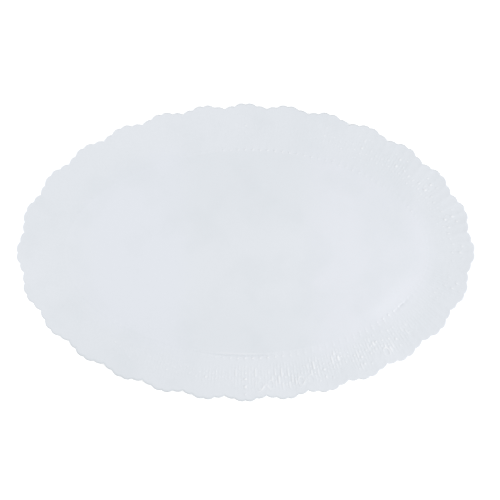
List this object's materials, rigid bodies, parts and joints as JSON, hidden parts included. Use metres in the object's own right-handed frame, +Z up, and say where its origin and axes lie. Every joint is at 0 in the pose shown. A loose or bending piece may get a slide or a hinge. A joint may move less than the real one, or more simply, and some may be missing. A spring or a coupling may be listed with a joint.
{
  "type": "lace doily",
  "caption": "Oval lace doily: one flat sheet with a scalloped, lobed edge and an embossed border of ribs and beads round a plain centre panel.",
  "frame": {"origin": "under the middle of the oval, on the flat underside", "axes": "+X along the oval's length, +Y across it, +Z up out of the embossed face"},
  "size_m": [0.3546, 0.2308, 0.0016],
  "materials": {
    "sheet": "matte"
  },
  "bodies": {
    "root": {"doily": "sheet"}
  },
  "joints": []
}
